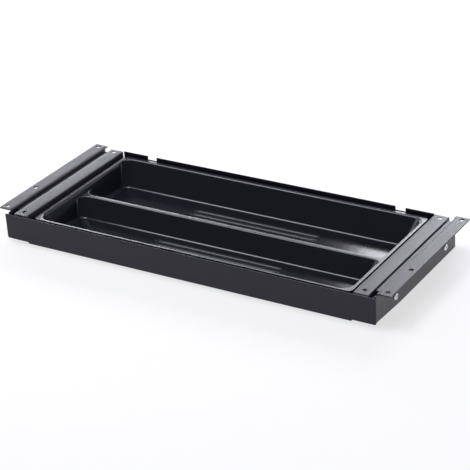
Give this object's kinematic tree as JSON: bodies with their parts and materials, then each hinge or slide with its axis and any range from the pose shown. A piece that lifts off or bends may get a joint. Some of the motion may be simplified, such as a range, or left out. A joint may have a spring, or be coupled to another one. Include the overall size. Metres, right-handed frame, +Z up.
{
  "type": "under desk drawer",
  "caption": "Shallow steel drawer with a pen tray insert, sliding on ball runners between two brackets that screw to the underside of a desk.",
  "frame": {"origin": "centre of the four corner screw holes, in the plane where the bracket flanges meet the desk top", "axes": "+X to the right seen from the front, +Y to the back of the desk, +Z up into the desk top; the drawer opens along -Y"},
  "size_m": [0.6, 0.2413, 0.042],
  "materials": {
    "drawer_paint": "satin anthracite powder coat, fine texture",
    "bracket_paint": "satin charcoal powder coat, fine texture",
    "channel_paint": "satin charcoal powder coat, fine texture",
    "tray_plastic": "gloss black formed sheet",
    "screw_zinc": "bright zinc plate",
    "rail_black": "black coated rolled steel",
    "cage_zinc": "zinc-plated strip",
    "ball_steel": "polished bearing steel",
    "buffer_rubber": "black rubber",
    "stop_plastic": "black nylon",
    "rivet_zinc": "zinc plate"
  },
  "bodies": {
    "brackets": {"bracket_left": "bracket_paint", "bracket_right": "bracket_paint", "bracket_screws_left": "screw_zinc", "bracket_screws_right": "screw_zinc", "outer_rail_left": "rail_black", "outer_rail_right": "rail_black", "end_buffer_left": "buffer_rubber", "end_buffer_right": "buffer_rubber"},
    "drawer": {"drawer_body": "drawer_paint", "side_channel_left": "channel_paint", "side_channel_right": "channel_paint", "inner_rail_left": "rail_black", "inner_rail_right": "rail_black", "inner_rail_stop_left": "stop_plastic", "inner_rail_stop_right": "stop_plastic", "rail_rivets_left": "rivet_zinc", "rail_rivets_right": "rivet_zinc"},
    "tray": {"pen_tray": "tray_plastic"},
    "cage_left": {"ball_cage_left": "cage_zinc", "cage_balls_left": "ball_steel"},
    "cage_right": {"ball_cage_right": "cage_zinc", "cage_balls_right": "ball_steel"}
  },
  "joints": [
    {"name": "drawer_slide", "type": "slide", "parent": "brackets", "child": "drawer", "axis": [0, -1, 0], "range_m": [0, 0.15]},
    {"name": "cage_left_slide", "type": "slide", "parent": "brackets", "child": "cage_left", "axis": [0, -1, 0], "range_m": [0, 0.075]},
    {"name": "cage_right_slide", "type": "slide", "parent": "brackets", "child": "cage_right", "axis": [0, -1, 0], "range_m": [0, 0.075]},
    {"name": "tray_lift", "type": "slide", "parent": "drawer", "child": "tray", "axis": [0, 0, 1], "range_m": [0, 0.06]}
  ],
  "couplings": [
    {"joint": "cage_left_slide", "follows": "drawer_slide", "ratio": 0.5},
    {"joint": "cage_right_slide", "follows": "drawer_slide", "ratio": 0.5}
  ]
}
